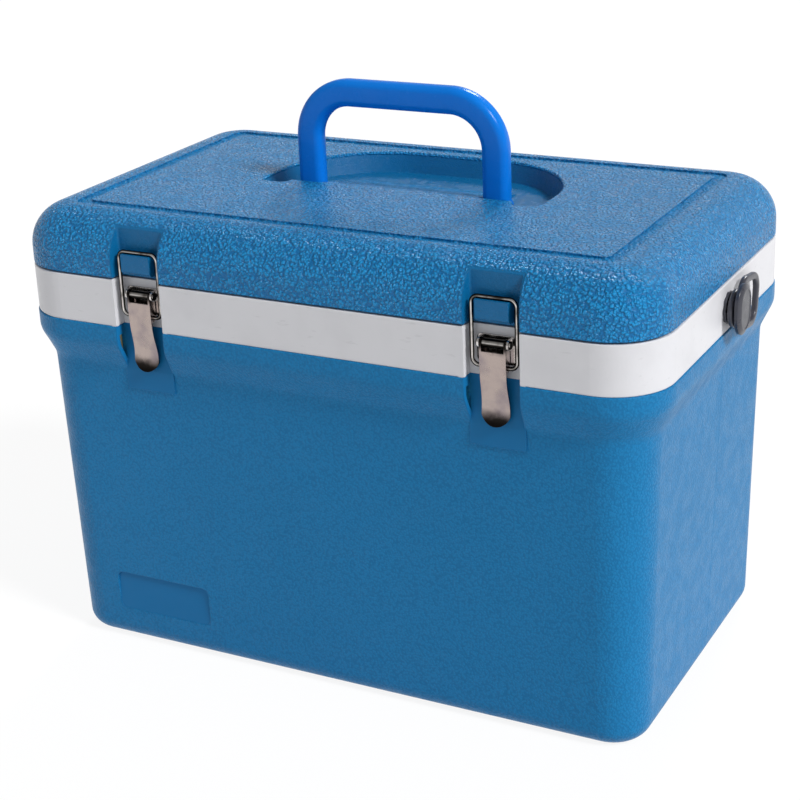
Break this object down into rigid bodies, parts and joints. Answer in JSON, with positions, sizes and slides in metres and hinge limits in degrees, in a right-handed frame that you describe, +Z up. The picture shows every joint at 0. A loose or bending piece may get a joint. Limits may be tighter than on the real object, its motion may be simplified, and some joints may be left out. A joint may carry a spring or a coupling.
{
  "type": "vaccine carrier",
  "caption": "Insulated vaccine carrier: deep-walled box with hinged lid, folding carry handle, draw latches, strap rings and water packs inside.",
  "frame": {"origin": "middle of the flat resting face, at mid width and mid depth of the shell", "axes": "+X along the long side to the right, +Y to the hinge side, the latches face -Y, +Z up"},
  "size_m": [0.4434, 0.2554, 0.3587],
  "materials": {
    "shell_plastic": "grained",
    "lid_plastic": "pebble grained",
    "liner_plastic": "satin",
    "foam": "cellular",
    "gasket_rubber": "soft",
    "handle_plastic": "glossy",
    "plated_steel": "nickel plated",
    "lug_plastic": "satin",
    "pack_plastic": "satin",
    "cap_plastic": "satin"
  },
  "bodies": {
    "box": {"outer_shell": "shell_plastic", "inner_liner": "liner_plastic", "body_insulation": "foam", "latch_screws": "plated_steel", "hinge_lower_screws": "plated_steel", "ice_pack_caps": "cap_plastic", "latch_base_left": "plated_steel", "latch_pin_left": "plated_steel", "strap_stud_left": "lug_plastic", "hinge_lower_leaf_left": "plated_steel", "hinge_pin_left": "plated_steel", "latch_base_right": "plated_steel", "latch_pin_right": "plated_steel", "strap_stud_right": "lug_plastic", "hinge_lower_leaf_right": "plated_steel", "hinge_pin_right": "plated_steel", "ice_pack_front_left": "pack_plastic", "ice_pack_front_right": "pack_plastic", "ice_pack_rear_left": "pack_plastic", "ice_pack_rear_right": "pack_plastic"},
    "lid": {"lid_shell": "lid_plastic", "lid_insulation": "foam", "lid_liner": "liner_plastic", "lid_gasket": "gasket_rubber", "hinge_upper_screws": "plated_steel", "hinge_upper_leaf_left": "plated_steel", "hinge_upper_leaf_right": "plated_steel"},
    "handle": {"handle": "handle_plastic"},
    "latch_lever_left": {"latch_lever_left": "plated_steel"},
    "latch_bail_left": {"latch_bail_left": "plated_steel"},
    "strap_ring_left": {"strap_ring_left": "lug_plastic"},
    "latch_lever_right": {"latch_lever_right": "plated_steel"},
    "latch_bail_right": {"latch_bail_right": "plated_steel"},
    "strap_ring_right": {"strap_ring_right": "lug_plastic"}
  },
  "joints": [
    {"name": "lid_hinge", "type": "hinge", "parent": "box", "child": "lid", "pos_m": [0, 0.1261, 0.2565], "axis": [-1, 0, 0], "range_deg": [0, 100]},
    {"name": "handle_fold", "type": "hinge", "parent": "lid", "child": "handle", "pos_m": [0, 0.002, 0.2865], "axis": [-1, 0, 0], "range_deg": [0, 90]},
    {"name": "lever_turn_left", "type": "hinge", "parent": "box", "child": "latch_lever_left", "pos_m": [-0.117, -0.1208, 0.247], "axis": [-1, 0, 0], "range_deg": [0, 92]},
    {"name": "bail_swing_left", "type": "hinge", "parent": "latch_lever_left", "child": "latch_bail_left", "pos_m": [-0.117, -0.1208, 0.2333], "axis": [-1, 0, 0], "range_deg": [-69, 0]},
    {"name": "lever_turn_right", "type": "hinge", "parent": "box", "child": "latch_lever_right", "pos_m": [0.117, -0.1208, 0.247], "axis": [-1, 0, 0], "range_deg": [0, 92]},
    {"name": "bail_swing_right", "type": "hinge", "parent": "latch_lever_right", "child": "latch_bail_right", "pos_m": [0.117, -0.1208, 0.2333], "axis": [-1, 0, 0], "range_deg": [-69, 0]},
    {"name": "ring_swivel_left", "type": "hinge", "parent": "box", "child": "strap_ring_left", "pos_m": [-0.2151, 0, 0.2405], "axis": [1, 0, 0], "continuous": true},
    {"name": "ring_swivel_right", "type": "hinge", "parent": "box", "child": "strap_ring_right", "pos_m": [0.2151, 0, 0.2405], "axis": [1, 0, 0], "continuous": true}
  ],
  "couplings": [
    {"joint": "bail_swing_left", "follows": "lever_turn_left", "ratio": -0.75},
    {"joint": "bail_swing_right", "follows": "lever_turn_right", "ratio": -0.75}
  ]
}
